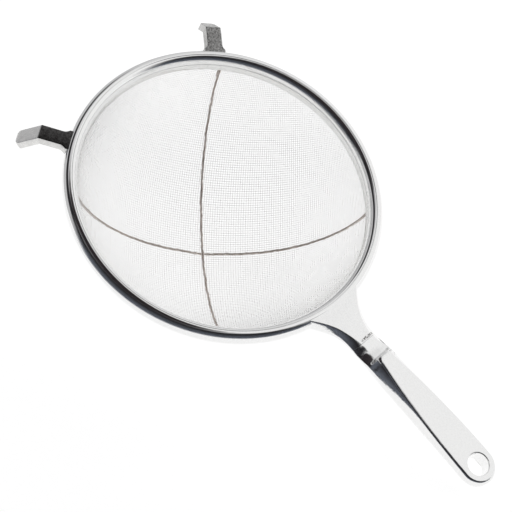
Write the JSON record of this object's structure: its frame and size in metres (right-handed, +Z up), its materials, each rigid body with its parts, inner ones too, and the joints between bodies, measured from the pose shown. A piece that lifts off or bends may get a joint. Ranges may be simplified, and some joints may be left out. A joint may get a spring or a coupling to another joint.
{
  "type": "strainer",
  "caption": "Bowl-shaped kitchen strainer: woven mesh bowl in a polished oval hoop, flat cast handle with a hanging hole, and bent rest hooks opposite the handle for the edge of a pot.",
  "frame": {"origin": "on the table, under the middle of the resting strainer's box", "axes": "+X towards the handle's tail, +Z up from the table; the strainer lies on the bottom of its bowl and the tail of its handle, so the rim's plane is tipped 21 degrees down towards the handle"},
  "size_m": [0.3512, 0.22, 0.1411],
  "materials": {
    "polished_metal": "polished, near mirror",
    "brushed_metal": "as cast and lightly rubbed",
    "woven_wire": "fine bright woven wire",
    "dark_wire": "dull dark wire"
  },
  "bodies": {
    "root": {"rim_hoop": "polished_metal", "clamp_band": "brushed_metal", "mesh_bowl": "woven_wire", "cross_wire_a": "dark_wire", "cross_wire_b": "dark_wire", "handle_neck": "polished_metal", "handle_grip": "polished_metal", "hook_left": "brushed_metal", "hook_right": "brushed_metal"}
  },
  "joints": []
}
